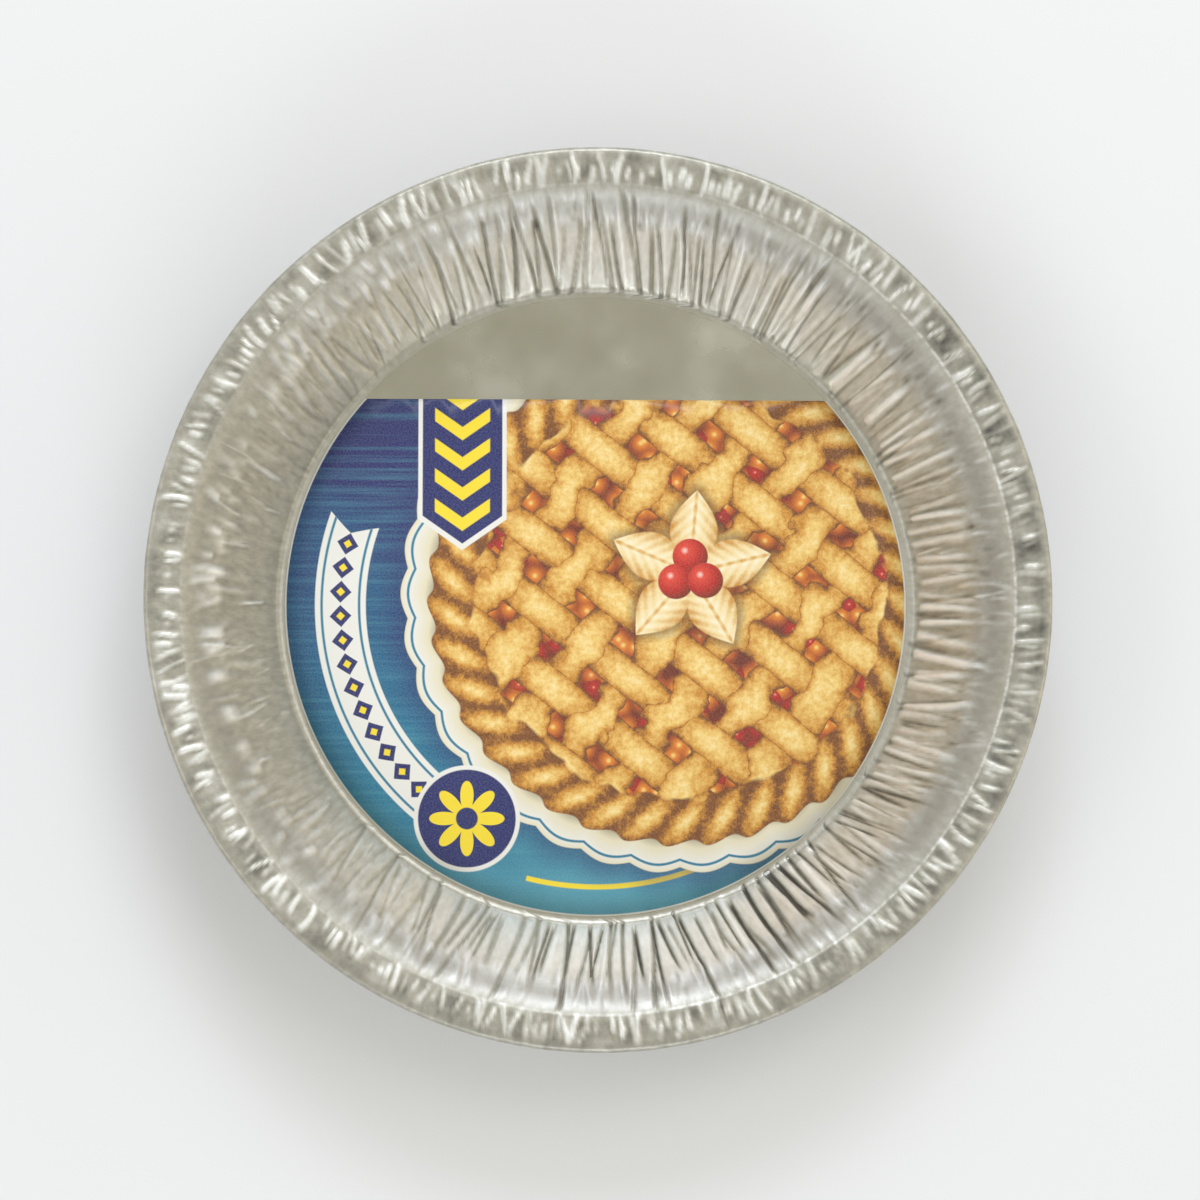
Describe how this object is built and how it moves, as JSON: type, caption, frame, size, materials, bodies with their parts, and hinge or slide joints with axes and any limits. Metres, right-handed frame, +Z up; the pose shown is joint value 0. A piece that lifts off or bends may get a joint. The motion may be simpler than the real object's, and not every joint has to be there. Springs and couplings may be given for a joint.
{
  "type": "foil pie tin",
  "caption": "Round pressed-foil pie tin with a flat floor, a pleated sloping wall, a crimped flange and a rolled rim, with a printed card lying loose on its floor.",
  "frame": {"origin": "centre of the floor's underside, on the surface that the tin stands on", "axes": "+Z up through the open mouth, +Y towards the straight edge of the card"},
  "size_m": [0.2444, 0.2444, 0.03],
  "materials": {
    "foil": "satin",
    "printed_card": "satin"
  },
  "bodies": {
    "root": {"tin": "foil", "card": "printed_card"}
  },
  "joints": []
}
